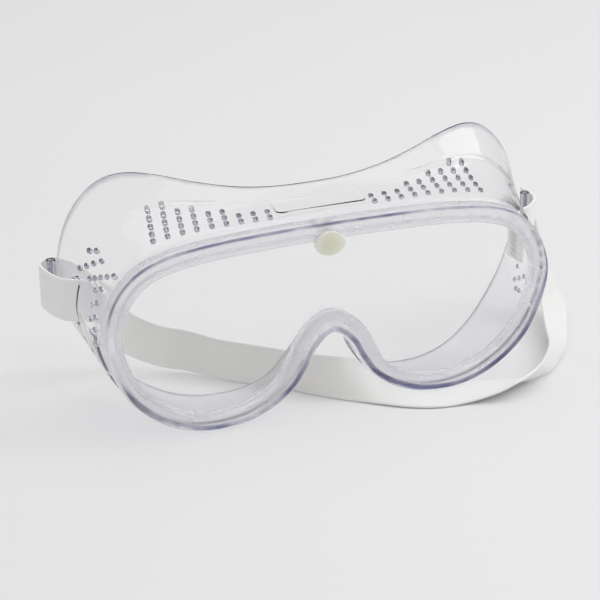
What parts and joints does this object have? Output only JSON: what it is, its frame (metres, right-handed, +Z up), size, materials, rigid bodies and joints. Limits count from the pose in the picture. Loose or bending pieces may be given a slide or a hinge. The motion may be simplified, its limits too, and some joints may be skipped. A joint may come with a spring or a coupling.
{
  "type": "safety goggles",
  "caption": "Safety goggles with a soft clear vented body, a flat clear lens pushed into its groove, a lens button and an elastic headband looped through ear slots.",
  "frame": {"origin": "on the table under the middle of the box round goggles and headband", "axes": "+Z up, lens facing -Y, wearer at +Y, +X to the right as the lens is looked at"},
  "size_m": [0.192, 0.0656, 0.0819],
  "materials": {
    "soft_pvc": "clear soft moulding, faint violet tint",
    "lens_sheet": "clear flat sheet, polished",
    "nylon": "milky, slightly yellow",
    "elastic": "woven elastic, off-white",
    "tube": "clear extruded tube",
    "thread": "white sewing thread"
  },
  "bodies": {
    "goggles": {"body": "soft_pvc", "lens": "lens_sheet", "button_cap": "nylon", "headband": "elastic", "left_stitching": "thread", "right_stitching": "thread"},
    "button": {"lens_button": "nylon"},
    "left_loop_pin": {"left_pin": "tube"},
    "right_loop_pin": {"right_pin": "tube"}
  },
  "joints": [
    {"name": "button_pull", "type": "slide", "parent": "goggles", "child": "button", "axis": [0, -1, 0], "range_m": [0, 0.006]},
    {"name": "left_pin_slide", "type": "slide", "parent": "goggles", "child": "left_loop_pin", "axis": [-0.0152, 0, 0.9999], "range_m": [0, 0.0165]},
    {"name": "right_pin_slide", "type": "slide", "parent": "goggles", "child": "right_loop_pin", "axis": [-0.0152, 0, 0.9999], "range_m": [0, 0.0165]}
  ]
}
